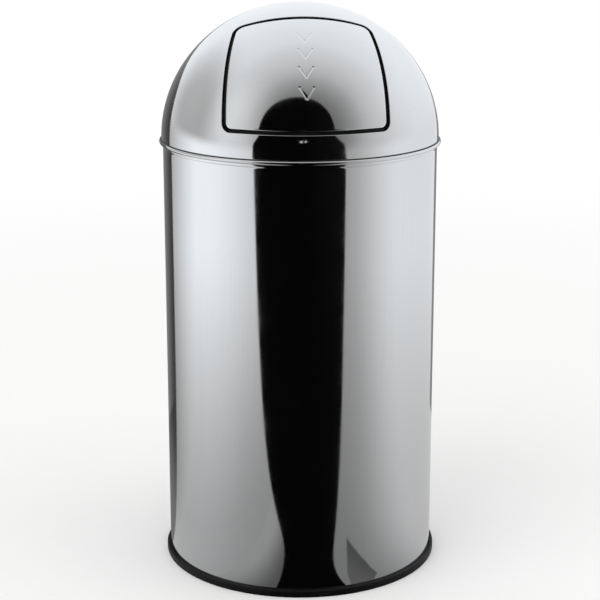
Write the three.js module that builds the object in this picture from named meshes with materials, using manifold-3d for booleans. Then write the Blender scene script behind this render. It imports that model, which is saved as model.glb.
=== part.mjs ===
// A push-flap waste bin: a round sheet-metal body on a plastic foot ring, a lift-off dome lid with a
// sprung flap, and a lift-out inner bucket with a folding bail.
// Millimetres, +Z up, the flap faces -Y, the origin is the centre of the foot ring's underside.
import * as THREE from "three";
import { mergeVertices } from "three/addons/utils/BufferGeometryUtils.js";
import Module from "manifold-3d";

const wasm = await Module();
wasm.setup();

// ---------- driving dimensions ----------

const gap = 0.3; // left between two pieces that touch

// Body: a rolled tube with its top edge curled outwards.
const bodyDiameter = 340;
const rimHeight = 541.5; // floor to the crest of the curled rim
const bodySheet = 0.6;
const rimCurlRadius = 2.6;
const rimCurlEnd = -110; // degrees, where the curl stops short of the wall

// Foot: a moulded ring that the body stands in, and the pressed floor inside it.
const ringOverhang = 4.5; // how far the ring stands out past the body
const ringHeight = 9;
const ringSole = 2.6;
const ringRound = 1.6;
const ringInnerLip = 2.8;
const floorHeight = 10; // underside of the pressed floor
const floorSheet = 0.8;

// Dome lid.
const domeRise = 166; // rim crest to the top of the dome
const domeSheet = 0.7;
const domeLip = 3; // depth of the turned-in edge round the flap opening
const collarSheet = 0.8;
const collarClearance = 0.6; // between the collar and the inside of the body
const collarDrop = 24; // how far the collar reaches down into the body
const collarRise = 14; // how far it reaches up inside the dome
const collarStep = 5; // height of the joggle that carries it from the dome to the body's bore

// Flap and its opening, drawn square to the push direction.
const pushElevation = 40; // degrees, the direction that the opening is punched along
const openingBottom = -84.2; // lowest point of the opening's line, from the dome's centre
const openingTop = 74.5;
const openingHalfWidth = 95.4; // widest half, at the level named next
const openingWidestAt = -62;
const bottomSweep = 251; // radius of the bottom edge
const sideSweep = 583; // radius of each side edge
const lowerCorner = 12;
const upperCorner = 13;
const bandWidth = 5; // dark band that shows between the flap and the opening
const flapSheet = 0.7;
const flapReturn = 2.6; // depth of the flap skin's turned edge
const backingSheet = 2.4;
const backingRimDepth = 2.2; // thickness of the backing's rim, behind the opening's edge
const backingRimLap = 4; // how far that rim reaches behind the dome
const backingRimWidth = 8; // from the opening's line inwards

// Hinge.
const hingeBeyondEdge = 25; // from the opening's top edge, along the dome
const hingeDepth = 18; // from the dome's surface to the pin's centre
const pinRadius = 2.5;
const pinHeadRadius = 4.5;
const pinHeadLength = 2;
const pinTail = 3.2; // pin left past the bracket, for the clip
const clipRadius = 5.5;
const clipThickness = 1.2;
const bracketPlace = 42; // centre to the inner face of each bracket
const bracketSheet = 1.5;
const bracketHalfWidth = 7;
const bracketFoot = 12;
const armPlace = 35;
const armSheet = 1.5;
const armBoss = 6.5;
const armDepth = 9; // height of the arm's web under the flap
const armFoot = 14;
const armFootStart = 14; // from the opening's top edge down the flap to the arm's foot
const armFootLength = 45;
const screwInset = 10; // from each end of the foot to a screw
const screwRadius = 2;
const screwHeadRadius = 3.8;
const screwHeadHeight = 2.2;
const screwHeadBevel = 0.8;
const screwBite = 3.2; // how far a screw goes into the backing
const padMargin = 2; // how far the pad under an arm's foot stands out round it

// Return springs, wound round the pin.
const springWire = 1.2;
const springBore = 6.2;
const springCurls = 6;
const springPitch = 1.9;
const springPlace = 21; // centre to the first curl
const springLidLeg = 22; // from the pin along the dome to where a leg bears on it
const springFlapLap = 6; // how far a leg reaches under the flap, past the opening's top edge

// Inner bucket.
const bucketClearance = 17.4; // between the body's bore and the top of the bucket's wall
const bucketTaper = 5; // how much smaller the wall's radius is at the foot
const bucketHeight = 493;
const bucketSheet = 0.6;
const bucketBead = 3;
const bucketBaseRaise = 7; // the bucket's base sits this far above its foot
const earSheet = 1.5;
const earHalfWidth = 11;
const earDrop = 44; // bail pivot to the ear's lower edge
const earRivets = [16, 34]; // bail pivot to each rivet
const rivetRadius = 2;
const rivetHeadRadius = 4;
const rivetHeadHeight = 1.6;
const rivetHeadFlat = 2.4; // radius of the flat on the head
const bailWire = 4;
const bailBend = 4.5; // radius of the turn into each ear
const bailTail = 5; // wire left inside each ear

// Facets: sides of a full turn, and steps along an arc.
const around = 60; // every large round piece
const domeRings = 10; // from the dome's foot to its top
const fine = 16; // the pin and what turns on it
const small = 12; // screws and rivets
const springSides = 5;
const springSteps = 8; // in each curl
const bailSides = 6;
const bailBendSteps = 4;
const bailBowSteps = 36;
const roundEndSteps = 10; // a bracket's or an ear's half-round end
const outlineSteps = 3; // each sweep of the opening's outline
const cornerSteps = 4;
const beadSteps = 6;
const rimCurlSteps = [2, 4]; // up to the crest, and on from it

// ---------- sizes that follow from those ----------

const bodyRadius = bodyDiameter / 2;
const bodyBore = bodyRadius - bodySheet;
const bucketTopRadius = bodyBore - bucketClearance;
const bucketBottomRadius = bucketTopRadius - bucketTaper;
const rimCurlCentre = bodyBore + rimCurlRadius;
const domeRadius = rimCurlCentre; // the dome's foot stands on the crest of the curl
const floorTop = floorHeight + floorSheet;
const lidBase = rimHeight + gap;
const bucketBase = floorTop + gap;
const openingEdge = bandWidth / 2; // outwards from the opening's line
const skinEdge = -bandWidth / 2;
const skinDepth = flapSheet + gap; // depth of the backing's face
const rimDepth = domeLip + gap; // depth of the backing's rim
const rimBack = rimDepth + backingRimDepth; // depth of the back of the backing's rim and pads
const domeInside = domeSheet + gap; // depth at which a piece lies against the dome's inside
const wellPast = 2 * domeRadius; // reaches past any of the lid's pieces
const cutMargin = 1; // how far a hole's cutter runs past the faces that it cuts

// ---------- shaping ----------

const degrees = THREE.MathUtils.degToRad;
const inDegrees = THREE.MathUtils.radToDeg;

function solid(geometry) {
  const bare = geometry.clone();
  bare.deleteAttribute("normal");
  bare.deleteAttribute("uv");
  const merged = mergeVertices(bare, 1e-4);
  return new wasm.Manifold(
    new wasm.Mesh({
      numProp: 3,
      vertProperties: merged.attributes.position.array,
      triVerts: new Uint32Array(merged.index.array),
    }),
  );
}

function geometryOf(shape) {
  const { vertProperties, triVerts } = shape.getMesh();
  const geometry = new THREE.BufferGeometry();
  geometry.setAttribute("position", new THREE.BufferAttribute(vertProperties, 3));
  geometry.setIndex(new THREE.BufferAttribute(triVerts, 1));
  const faceted = geometry.toNonIndexed();
  faceted.computeVertexNormals();
  return faceted;
}

// Turns a profile of [radius, height] points about Z; the order of the points doesn't matter.
function turned(profile, sides = around) {
  const points = profile.map(([radius, height]) => new THREE.Vector2(radius, height));
  if (THREE.ShapeUtils.area(points) < 0) points.reverse();
  const onAxis = points.findIndex(
    (point, i) => point.x === 0 && points[(i + points.length - 1) % points.length].x === 0,
  );
  const run = onAxis < 0
    ? [...points, points[0].clone()]
    : [...points.slice(onAxis), ...points.slice(0, onAxis)];
  return new THREE.LatheGeometry(run, sides).rotateX(Math.PI / 2);
}

function arc(centre, radius, from, to, steps) {
  return Array.from({ length: steps + 1 }, (_, i) => {
    const angle = degrees(from + ((to - from) * i) / steps);
    return [centre[0] + radius * Math.cos(angle), centre[1] + radius * Math.sin(angle)];
  });
}

// A rod or a ring along X, from x0 to x1.
function rod(radius, x0, x1, bore = 0, sides = fine) {
  const profile = bore
    ? [[bore, x0], [radius, x0], [radius, x1], [bore, x1]]
    : [[0, x0], [radius, x0], [radius, x1], [0, x1]];
  return turned(profile, sides).rotateY(Math.PI / 2);
}

// A plate cut to an outline of [forward, up] points, from x0 to x1; forward is -Y.
function plate(outline, x0, x1) {
  const shape = new THREE.Shape(outline.map(([forward, up]) => new THREE.Vector2(forward, up)));
  const turn = new THREE.Matrix4().makeBasis(
    new THREE.Vector3(0, -1, 0),
    new THREE.Vector3(0, 0, 1),
    new THREE.Vector3(-1, 0, 0),
  );
  return new THREE.ExtrudeGeometry(shape, { depth: x1 - x0, bevelEnabled: false })
    .applyMatrix4(turn)
    .translate(x1, 0, 0);
}

// ---------- the dome, and what follows its curve (origin: centre of the dome's foot) ----------

const domeCurve = (depth, angle) => [
  (domeRadius - depth) * Math.cos(angle),
  (domeRise - gap - depth) * Math.sin(angle),
];

const domeRing = (depth, ring) => domeCurve(depth, (Math.PI / 2) * (ring / domeRings));

// A bowl between two depths under the dome's surface.
function bowl(outerDepth, innerDepth) {
  const arcs = [outerDepth, innerDepth].map((depth) =>
    Array.from({ length: domeRings + 1 }, (_, ring) => domeRing(depth, ring)),
  );
  for (const side of arcs) side[domeRings][0] = 0;
  return solid(turned([...arcs[0], ...arcs[1].reverse()]));
}

// The point [forward, up] at an elevation and a place across, at a depth under the dome's surface.
function underDome(elevation, depth, across = 0) {
  const [c, s] = [Math.cos(degrees(elevation)), Math.sin(degrees(elevation))];
  const [a, b] = [domeRadius - depth, domeRise - gap - depth];
  const reach = Math.sqrt(1 - (across / a) ** 2) / Math.hypot(c / a, s / b);
  return [reach * c, reach * s];
}

// How far the middle of a facet lies inside the true curve.
const facetSag = domeRadius * (2 - Math.cos(Math.PI / (4 * domeRings)) - Math.cos(Math.PI / around));

// The direction from one point of an outline to another, in degrees.
const heading = (from, to) => inDegrees(Math.atan2(to[1] - from[1], to[0] - from[0]));

// The opening's outline, moved outwards by a distance.
function openingOutline(outset) {
  const bottomCentre = [0, openingBottom + bottomSweep];
  const sideCentre = [openingHalfWidth - sideSweep, openingWidestAt];
  // The lower corner rolls inside both sweeps, the upper one inside the side's sweep and the top.
  const lower = rollingCentre(bottomCentre, bottomSweep - lowerCorner, sideCentre, sideSweep - lowerCorner);
  const upperUp = openingTop - upperCorner;
  const upper = [
    sideCentre[0] + Math.sqrt((sideSweep - upperCorner) ** 2 - (upperUp - sideCentre[1]) ** 2),
    upperUp,
  ];
  const bottomEnd = heading(bottomCentre, lower);
  const sideStart = heading(sideCentre, lower);
  const sideEnd = heading(sideCentre, upper);
  const right = [
    ...arc(bottomCentre, bottomSweep + outset, -90, bottomEnd, outlineSteps),
    ...arc(lower, lowerCorner + outset, bottomEnd, sideStart, cornerSteps).slice(1),
    ...arc(sideCentre, sideSweep + outset, sideStart, sideEnd, outlineSteps).slice(1),
    ...arc(upper, upperCorner + outset, sideEnd, 90, cornerSteps).slice(1),
  ];
  const left = right.slice(1).reverse().map(([x, t]) => [-x, t]);
  return [...right, ...left];
}

// The point that lies at two distances from two centres, on the lower right of both.
function rollingCentre(a, fromA, b, fromB) {
  const between = Math.hypot(b[0] - a[0], b[1] - a[1]);
  const along = (fromA ** 2 - fromB ** 2 + between ** 2) / (2 * between);
  const aside = Math.sqrt(fromA ** 2 - along ** 2);
  const [ux, uy] = [(b[0] - a[0]) / between, (b[1] - a[1]) / between];
  return [a[0] + ux * along - uy * aside, a[1] + uy * along + ux * aside];
}

// A prism of the opening's outline along the push direction, long enough to pass the dome's skin.
function punch(outset) {
  const shape = new THREE.Shape(openingOutline(outset).map(([x, t]) => new THREE.Vector2(x, t)));
  return solid(
    new THREE.ExtrudeGeometry(shape, { depth: wellPast, bevelEnabled: false })
      .rotateX(degrees(90 - pushElevation)),
  );
}

// The part of a bowl, between two depths, that lies inside the opening's outline moved outwards.
const pressed = (outerDepth, innerDepth, outset) => bowl(outerDepth, innerDepth).intersect(punch(outset));

// A sector in the middle plane between two elevations, from x0 to x1.
function wedge([low, high], x0, x1) {
  const corner = (angle) => [wellPast * Math.cos(degrees(angle)), wellPast * Math.sin(degrees(angle))];
  return solid(plate([[0, 0], corner(low), corner(high)], x0, x1));
}

// ---------- body and foot ----------

const curlCentre = [rimCurlCentre, rimHeight - rimCurlRadius];
const curl = (radius) => [
  ...arc(curlCentre, radius, 180, 90, rimCurlSteps[0]),
  ...arc(curlCentre, radius, 90, rimCurlEnd, rimCurlSteps[1]).slice(1),
];

const bodyShell = turned([
  [bodyBore, ringSole + gap],
  [bodyRadius, ringSole + gap],
  ...curl(rimCurlRadius - bodySheet),
  ...curl(rimCurlRadius).reverse(),
]);

const grooveInside = bodyBore - gap - floorSheet - gap;
const ringOuter = bodyRadius + ringOverhang;
const baseRing = turned([
  [grooveInside - ringInnerLip, 0],
  [ringOuter - ringRound, 0],
  [ringOuter, ringRound],
  [ringOuter, ringHeight - 2 * ringRound],
  [ringOuter - ringRound, ringHeight - ringRound / 3],
  [ringOuter - 2 * ringRound, ringHeight],
  [bodyRadius + gap, ringHeight],
  [bodyRadius + gap, ringSole],
  [grooveInside, ringSole],
  [grooveInside, floorHeight - gap],
  [grooveInside - ringInnerLip, floorHeight - gap],
]);

const floorEdge = bodyBore - gap;
const basePlate = turned([
  [0, floorHeight],
  [floorEdge - floorSheet, floorHeight],
  [floorEdge - floorSheet, ringSole + gap],
  [floorEdge, ringSole + gap],
  [floorEdge, floorTop],
  [0, floorTop],
]);

// ---------- dome, collar and flap ----------

const domeShell = bowl(0, domeSheet)
  .add(pressed(domeSheet / 2, domeLip, openingEdge + domeSheet))
  .subtract(punch(openingEdge));

// The collar follows the facets of the dome's inside, steps in, and hangs down in the body's bore.
function insideDome(height) {
  const rings = Array.from({ length: domeRings + 1 }, (_, ring) => domeRing(domeInside, ring));
  const above = rings.findIndex((ring) => ring[1] >= height);
  const [low, high] = rings.slice(above - 1, above + 1);
  return low[0] + ((high[0] - low[0]) * (height - low[1])) / (high[1] - low[1]);
}
const collarRadius = bodyBore - collarClearance;
const collarTop = [insideDome(collarRise), collarRise];
const collarBend = [insideDome(collarStep) - gap, collarStep];
const lidCollar = turned([
  [collarRadius, -collarDrop],
  [collarRadius, 0],
  collarBend,
  collarTop,
  [collarTop[0] - collarSheet, collarRise],
  [collarBend[0] - collarSheet, collarStep],
  [collarRadius - collarSheet, 0],
  [collarRadius - collarSheet, -collarDrop],
]);

// Where the dome's surface meets the top of the opening, measured along the push direction:
// (p c - t s)^2 / a^2 + (t c + p s)^2 / b^2 = 1, solved for p.
function pushSkinAtTop() {
  const [c, s] = [Math.cos(degrees(pushElevation)), Math.sin(degrees(pushElevation))];
  const [a, b] = [domeRadius, domeRise - gap];
  const square = (c / a) ** 2 + (s / b) ** 2;
  const linear = 2 * openingTop * c * s * (1 / b ** 2 - 1 / a ** 2);
  const constant = (openingTop * s / a) ** 2 + (openingTop * c / b) ** 2 - 1;
  return (-linear + Math.sqrt(linear ** 2 - 4 * square * constant)) / (2 * square);
}
const topEdge = pushElevation + heading([0, 0], [pushSkinAtTop(), openingTop]);

// The elevation of a place that lies past the opening's top edge by a distance along the dome.
const pastTopEdge = (distance) => topEdge + inDegrees(distance / domeRadius);
const hingeElevation = pastTopEdge(hingeBeyondEdge);
// Elevations of the arm foot's two ends, drawn in by a margin.
const armSpan = (margin) => [
  pastTopEdge(margin - armFootStart - armFootLength),
  pastTopEdge(-armFootStart - margin),
];
const screwSpan = armSpan(screwInset);
const hinge = underDome(hingeElevation, hingeDepth);
const atHinge = (geometry) => solid(geometry.translate(0, -hinge[0], hinge[1]));
const pinHole = (x0, x1) => atHinge(rod(pinRadius + gap, x0 - cutMargin, x1 + cutMargin));

// A bracket's ear rises from the pin to the dome, and its foot lies against the dome's inside.
const bracketOuter = bracketPlace + bracketSheet;
function bracket() {
  const roundEnd = arc([0, 0], bracketHalfWidth, hingeElevation + 90, hingeElevation + 270, roundEndSteps);
  const [c, s] = [Math.cos(degrees(hingeElevation)), Math.sin(degrees(hingeElevation))];
  const top = [roundEnd[roundEndSteps], roundEnd[0]].map(([f, u]) => [f + wellPast * c, u + wellPast * s]);
  const ear = atHinge(plate([...roundEnd, ...top], bracketPlace, bracketOuter));
  const footHalf = inDegrees(bracketHalfWidth / domeRadius);
  const foot = bowl(domeInside, domeInside + bracketSheet).intersect(
    wedge([hingeElevation - footHalf, hingeElevation + footHalf], bracketPlace, bracketPlace + bracketFoot),
  );
  return ear
    .intersect(bowl(domeInside, domeRadius / 2))
    .add(foot)
    .subtract(pinHole(bracketPlace, bracketOuter));
}

// An arm's web follows the flap's back up to the pin, and its foot lies on the flap's backing.
const armOuter = armPlace + armSheet;
function armBlank() {
  const web = bowl(rimBack + gap, rimBack + gap + armDepth).intersect(
    wedge([armSpan(0)[0], hingeElevation], armPlace, armOuter),
  );
  const foot = bowl(rimBack + gap, rimBack + gap + armSheet).intersect(
    wedge(armSpan(0), armOuter - armFoot, armOuter),
  );
  const boss = atHinge(rod(armBoss, armPlace, armOuter));
  return web.add(foot).add(boss).subtract(pinHole(armPlace, armOuter));
}

// Each screw stands square to the dome, in the middle of the arm's foot.
const screwX = armOuter - armSheet - (armFoot - armSheet) / 2;
const screwHeadDepth = rimBack + gap + armSheet + facetSag;
function screwPlace(elevation) {
  const [forward, up] = underDome(elevation, 0, screwX);
  const surface = new THREE.Vector3(screwX, -forward, up);
  const outwards = new THREE.Vector3(
    surface.x / domeRadius ** 2,
    surface.y / domeRadius ** 2,
    surface.z / (domeRise - gap) ** 2,
  ).normalize();
  const turn = new THREE.Quaternion().setFromUnitVectors(new THREE.Vector3(0, 0, 1), outwards);
  return new THREE.Matrix4().compose(surface, turn, new THREE.Vector3(1, 1, 1));
}

// Along its own axis a screw starts at the dome's surface and heads inwards, so heights are depths.
const screwTip = -(rimBack - screwBite);
function screw(elevation) {
  const seat = -screwHeadDepth;
  const head = seat - screwHeadHeight;
  const profile = [
    [0, screwTip],
    [screwRadius, screwTip],
    [screwRadius, seat],
    [screwHeadRadius, seat],
    [screwHeadRadius - screwHeadBevel, head],
    [0, head],
  ];
  return turned(profile, small).applyMatrix4(screwPlace(elevation));
}
const screwHoles = screwSpan.map((elevation) =>
  solid(
    rod(screwRadius + gap, -screwHeadDepth - cutMargin, screwTip + gap, 0, small)
      .rotateY(-Math.PI / 2)
      .applyMatrix4(screwPlace(elevation)),
  ),
);
const mirrored = (shape) => shape.mirror([1, 0, 0]);
const drilled = (shape, holes) => holes.reduce((left, hole) => left.subtract(hole), shape);

const arm = drilled(armBlank(), screwHoles);

const flapSkin = pressed(0, flapReturn, skinEdge)
  .subtract(pressed(flapSheet, 2 * flapReturn, skinEdge - flapSheet));

// The backing: a moulded tray behind the skin, its rim behind the opening's edge, a pad for each arm.
const padWedge = wedge(armSpan(-padMargin), armOuter - armFoot - padMargin, armOuter + padMargin);
const backingPocket = pressed(skinDepth + backingSheet, 2 * rimBack, -backingRimWidth)
  .subtract(padWedge)
  .subtract(mirrored(padWedge));
const backing = drilled(
  pressed(skinDepth, rimDepth + backingRimDepth / 2, skinEdge - flapSheet - gap)
    .add(pressed(rimDepth, rimBack, openingEdge + backingRimLap))
    .subtract(backingPocket),
  [...screwHoles, ...screwHoles.map(mirrored)],
);

// ---------- hinge pin, clip and springs ----------

const headSeat = -(bracketOuter + gap);
const hingePin = atHinge(rod(pinHeadRadius, headSeat - pinHeadLength, headSeat))
  .add(atHinge(rod(pinRadius, headSeat - pinHeadLength / 2, bracketOuter + pinTail)));
const clipSeat = bracketOuter + gap;
const pinClip = atHinge(rod(clipRadius, clipSeat, clipSeat + clipThickness, pinRadius + gap));

// Where a straight leg from a point meets the coil, as an angle about the pin.
function tangentAngle([forward, up], radius, side) {
  const away = [forward - hinge[0], up - hinge[1]];
  return Math.atan2(away[1], away[0]) + side * Math.acos(radius / Math.hypot(...away));
}

// The spring's centre line: a leg under the dome, the curls, and a leg under the flap.
function springLine() {
  const radius = (springBore + springWire) / 2;
  const wire = springWire / 2;
  const outerX = springPlace + springCurls * springPitch;
  const lidPlace = pastTopEdge(hingeBeyondEdge + springLidLeg);
  const lidEnd = underDome(lidPlace, domeInside + facetSag + wire, outerX);
  const flapEnd = underDome(pastTopEdge(-springFlapLap), rimBack + gap + facetSag + wire, springPlace);
  const from = tangentAngle(lidEnd, radius, -1);
  const to = tangentAngle(flapEnd, radius, 1);
  const turnAngle = -2 * Math.PI * springCurls + ((to - from) % (2 * Math.PI));
  const steps = Math.round((springSteps * Math.abs(turnAngle)) / (2 * Math.PI));
  const coil = Array.from({ length: steps + 1 }, (_, i) => {
    const share = i / steps;
    const angle = from + turnAngle * share;
    return new THREE.Vector3(
      outerX + (springPlace - outerX) * share,
      -(hinge[0] + radius * Math.cos(angle)),
      hinge[1] + radius * Math.sin(angle),
    );
  });
  const endPoint = ([forward, up], x) => new THREE.Vector3(x, -forward, up);
  return [endPoint(lidEnd, outerX), ...coil, endPoint(flapEnd, springPlace)];
}

// A closed tube of flat-sided section along a line of points, its first corner towards a given side.
function wireAlong(line, radius, sides, firstSide) {
  const rings = [];
  let side = firstSide;
  line.forEach((point, i) => {
    const before = line[Math.max(i - 1, 0)];
    const after = line[Math.min(i + 1, line.length - 1)];
    const ahead = after.clone().sub(before).normalize();
    side = side.clone().addScaledVector(ahead, -side.dot(ahead)).normalize();
    const up = ahead.clone().cross(side);
    rings.push(Array.from({ length: sides }, (_, k) => {
      const angle = (2 * Math.PI * k) / sides;
      return point.clone()
        .addScaledVector(side, radius * Math.cos(angle))
        .addScaledVector(up, radius * Math.sin(angle));
    }));
  });
  const positions = [...rings.flat(), line[0], line[line.length - 1]].flatMap((p) => p.toArray());
  const index = [];
  const startCap = rings.length * sides;
  const lastRing = startCap - sides;
  for (let k = 0; k < sides; k++) {
    const next = (k + 1) % sides;
    for (let ring = 0; ring < lastRing; ring += sides) {
      const [a, b, c, d] = [ring + k, ring + next, ring + sides + next, ring + sides + k];
      index.push(a, b, c, a, c, d);
    }
    index.push(startCap, next, k);
    index.push(startCap + 1, lastRing + k, lastRing + next);
  }
  const geometry = new THREE.BufferGeometry();
  geometry.setAttribute("position", new THREE.Float32BufferAttribute(positions, 3));
  geometry.setIndex(index);
  return geometry;
}

const spring = springLine();
let leastGap = Infinity;
spring.forEach((point, i) => {
  for (let j = i + springSteps - 1; j < spring.length; j++) {
    leastGap = Math.min(leastGap, point.distanceTo(spring[j]) - springWire);
  }
});
console.log("return spring, least gap to itself: " + leastGap.toFixed(2) + " mm");
const returnSpring = solid(wireAlong(spring, springWire / 2, springSides, new THREE.Vector3(1, 0, 0)));

// ---------- inner bucket and bail (origin: centre of the bucket's foot) ----------

const bucketWall = (height) =>
  bucketBottomRadius + ((bucketTopRadius - bucketBottomRadius) * height) / bucketHeight;
const beadCentre = [bucketTopRadius - bucketSheet + bucketBead, bucketHeight - bucketBead];
const bailAxis = bucketHeight + gap + bailWire / 2;
const bailRadius = bailWire / 2;

const earOuter = (height) => bucketWall(height) - bucketSheet - gap;
const rivetHeights = earRivets.map((drop) => bailAxis - drop);
const rivetFace = (height) => earOuter(height) - earSheet - gap;

const bucket = solid(turned([
  [bucketWall(0) - bucketSheet, 0],
  [bucketWall(0), 0],
  [bucketWall(beadCentre[1] - bucketBead), beadCentre[1] - bucketBead],
  ...arc(beadCentre, bucketBead, -90, 180, beadSteps),
]));

const baseEdge = bucketWall(0) - bucketSheet - gap;
const bucketBasePlate = turned([
  [0, bucketBaseRaise],
  [baseEdge - bucketSheet, bucketBaseRaise],
  [baseEdge - bucketSheet, 0],
  [baseEdge, 0],
  [baseEdge, bucketBaseRaise + bucketSheet],
  [0, bucketBaseRaise + bucketSheet],
]);

const [earLow, earHigh] = [bailAxis - earDrop, bailAxis + 2 * earHalfWidth];
const earRing = solid(turned([
  [earOuter(earLow) - earSheet, earLow],
  [earOuter(earLow), earLow],
  [earOuter(earHigh), earHigh],
  [earOuter(earHigh) - earSheet, earHigh],
]));
const earOutline = [
  [-earHalfWidth, earLow],
  [earHalfWidth, earLow],
  ...arc([0, bailAxis], earHalfWidth, 0, 180, roundEndSteps),
];
// Cutters and blanks for one side's ear run along X from inside the wall to well outside it.
const earReach = [bucketTopRadius / 2, 2 * bucketTopRadius];
const bailHole = solid(rod(bailRadius + gap, ...earReach).translate(0, 0, bailAxis));
const rivetHoles = rivetHeights.map((height) =>
  solid(rod(rivetRadius + gap, ...earReach, 0, small).translate(0, 0, height)),
);
const ear = drilled(
  earRing.intersect(solid(plate(earOutline, ...earReach))),
  [bailHole, ...rivetHoles],
);

function rivet(height) {
  const inside = rivetFace(height);
  const outside = bucketWall(height) + gap;
  const profile = [
    [0, inside - rivetHeadHeight],
    [rivetHeadFlat, inside - rivetHeadHeight],
    [rivetHeadRadius, inside],
    [rivetRadius, inside],
    [rivetRadius, outside],
    [rivetHeadRadius, outside],
    [rivetHeadFlat, outside + rivetHeadHeight],
    [0, outside + rivetHeadHeight],
  ];
  return turned(profile, small).rotateY(Math.PI / 2).translate(0, 0, height);
}

// The bail lies back on the rim: through each ear, round a bend, and along half an ellipse.
const bailReach = earOuter(bailAxis) + gap + bailBend;
const bailInner = earOuter(bailAxis) - earSheet - bailTail;
function bailPath() {
  const bend = Array.from({ length: bailBendSteps + 1 }, (_, i) => {
    const angle = (Math.PI / 2) * (i / bailBendSteps);
    return [bailReach - bailBend + bailBend * Math.sin(angle), bailBend - bailBend * Math.cos(angle)];
  });
  const right = [[bailInner, 0], [(bailInner + bailReach - bailBend) / 2, 0], ...bend];
  const bow = Array.from({ length: bailBowSteps - 1 }, (_, i) => {
    const angle = (Math.PI * (i + 1)) / bailBowSteps;
    return [bailReach * Math.cos(angle), bailBend + (bailReach - bailBend) * Math.sin(angle)];
  });
  const left = [...right].reverse().map(([x, y]) => [-x, y]);
  return [...right, ...bow, ...left].map(([x, y]) => new THREE.Vector3(x, y, bailAxis));
}
const bail = wireAlong(bailPath(), bailRadius, bailSides, new THREE.Vector3(0, 0, 1));

// ---------- materials ----------

const finish = (color, metalness, roughness) =>
  new THREE.MeshStandardMaterial({ color, metalness, roughness });
const polishedSteel = () => finish(0xc8cacc, 1, 0.16);
const galvanised = () => finish(0xa9aeb2, 0.9, 0.45);
const platedSteel = () => finish(0xb4b6b8, 1, 0.3);
const springSteel = () => finish(0x6f7276, 1, 0.35);
const blackPlastic = () => finish(0x161616, 0, 0.55);

// ---------- assembly ----------

function piece(name, shape, material) {
  const geometry = shape.isBufferGeometry ? geometryOf(solid(shape)) : geometryOf(shape);
  const mesh = new THREE.Mesh(geometry, material);
  mesh.name = name;
  return mesh;
}

function pair(name, shape, material) {
  const right = shape.isBufferGeometry ? solid(shape) : shape;
  return [piece(name + "_right", right, material()), piece(name + "_left", mirrored(right), material())];
}

const bin = new THREE.Group();
bin.add(
  piece("body_shell", bodyShell, polishedSteel()),
  piece("base_plate", basePlate, galvanised()),
  piece("base_ring", baseRing, blackPlastic()),
);

const lid = new THREE.Group();
lid.position.z = lidBase;
lid.add(
  piece("dome_shell", domeShell, polishedSteel()),
  piece("lid_collar", lidCollar, galvanised()),
  ...pair("hinge_bracket", bracket(), platedSteel),
  piece("hinge_pin", hingePin, platedSteel()),
  piece("pin_clip", pinClip, springSteel()),
  ...pair("return_spring", returnSpring, springSteel),
);

const flap = new THREE.Group();
flap.add(
  piece("flap_skin", flapSkin, polishedSteel()),
  piece("flap_backing", backing, blackPlastic()),
  ...pair("hinge_arm", arm, platedSteel),
  ...pair("arm_screw_lower", screw(screwSpan[0]), platedSteel),
  ...pair("arm_screw_upper", screw(screwSpan[1]), platedSteel),
);
lid.add(flap);

const liner = new THREE.Group();
liner.position.z = bucketBase;
liner.add(
  piece("liner_bucket", drilled(bucket, [...rivetHoles, ...rivetHoles.map(mirrored)]), galvanised()),
  piece("liner_base", bucketBasePlate, galvanised()),
  ...pair("bail_ear", ear, galvanised),
  ...pair("ear_rivet_upper", rivet(rivetHeights[0]), platedSteel),
  ...pair("ear_rivet_lower", rivet(rivetHeights[1]), platedSteel),
  piece("bail_wire", bail, platedSteel()),
);

bin.add(lid, liner);

const metres = (v) => (v / 1000).toFixed(5);
console.log("hinge axis at y " + metres(-hinge[0]) + " z " + metres(hinge[1] + lidBase));
console.log("bail axis at z " + metres(bailAxis + bucketBase));

export default bin;
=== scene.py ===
import bmesh
import bpy
import math
from mathutils import Matrix, Vector


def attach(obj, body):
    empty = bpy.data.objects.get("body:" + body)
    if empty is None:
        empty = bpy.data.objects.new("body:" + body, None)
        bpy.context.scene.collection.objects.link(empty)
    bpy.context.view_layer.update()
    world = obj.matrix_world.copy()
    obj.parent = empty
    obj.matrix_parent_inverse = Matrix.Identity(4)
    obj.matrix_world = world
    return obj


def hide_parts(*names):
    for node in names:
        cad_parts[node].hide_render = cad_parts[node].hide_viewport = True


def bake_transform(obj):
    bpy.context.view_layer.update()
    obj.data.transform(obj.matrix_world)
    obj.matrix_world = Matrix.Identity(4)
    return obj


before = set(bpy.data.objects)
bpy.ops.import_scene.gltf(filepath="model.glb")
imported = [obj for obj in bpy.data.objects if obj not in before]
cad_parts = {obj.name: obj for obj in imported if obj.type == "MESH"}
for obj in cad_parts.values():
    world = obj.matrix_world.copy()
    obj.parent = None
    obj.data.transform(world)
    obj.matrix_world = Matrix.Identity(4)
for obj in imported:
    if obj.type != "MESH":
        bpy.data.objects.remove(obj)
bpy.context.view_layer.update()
scene = bpy.context.scene
mm = 0.001


# Colours are written as sRGB hex and turned to linear here.
def hexToLinear(text):
    channels = [int(text[i:i + 2], 16) / 255 for i in (0, 2, 4)]
    return [c / 12.92 if c <= 0.04045 else ((c + 0.055) / 1.055) ** 2.4 for c in channels] + [1.0]


def linkInputs(tree, node, links):
    for name, source in links.items():
        tree.links.new(source.outputs[0] if isinstance(source, bpy.types.Node) else source, node.inputs[name])


# Adds a node; a setting or a link is named by its socket, its socket's number or its attribute.
def addNode(tree, kind, settings={}, links={}):
    node = tree.nodes.new("ShaderNode" + kind)
    for name, value in settings.items():
        if isinstance(name, int) or name in node.inputs:
            node.inputs[name].default_value = value
        else:
            setattr(node, name, value)
    linkInputs(tree, node, links)
    return node


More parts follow.
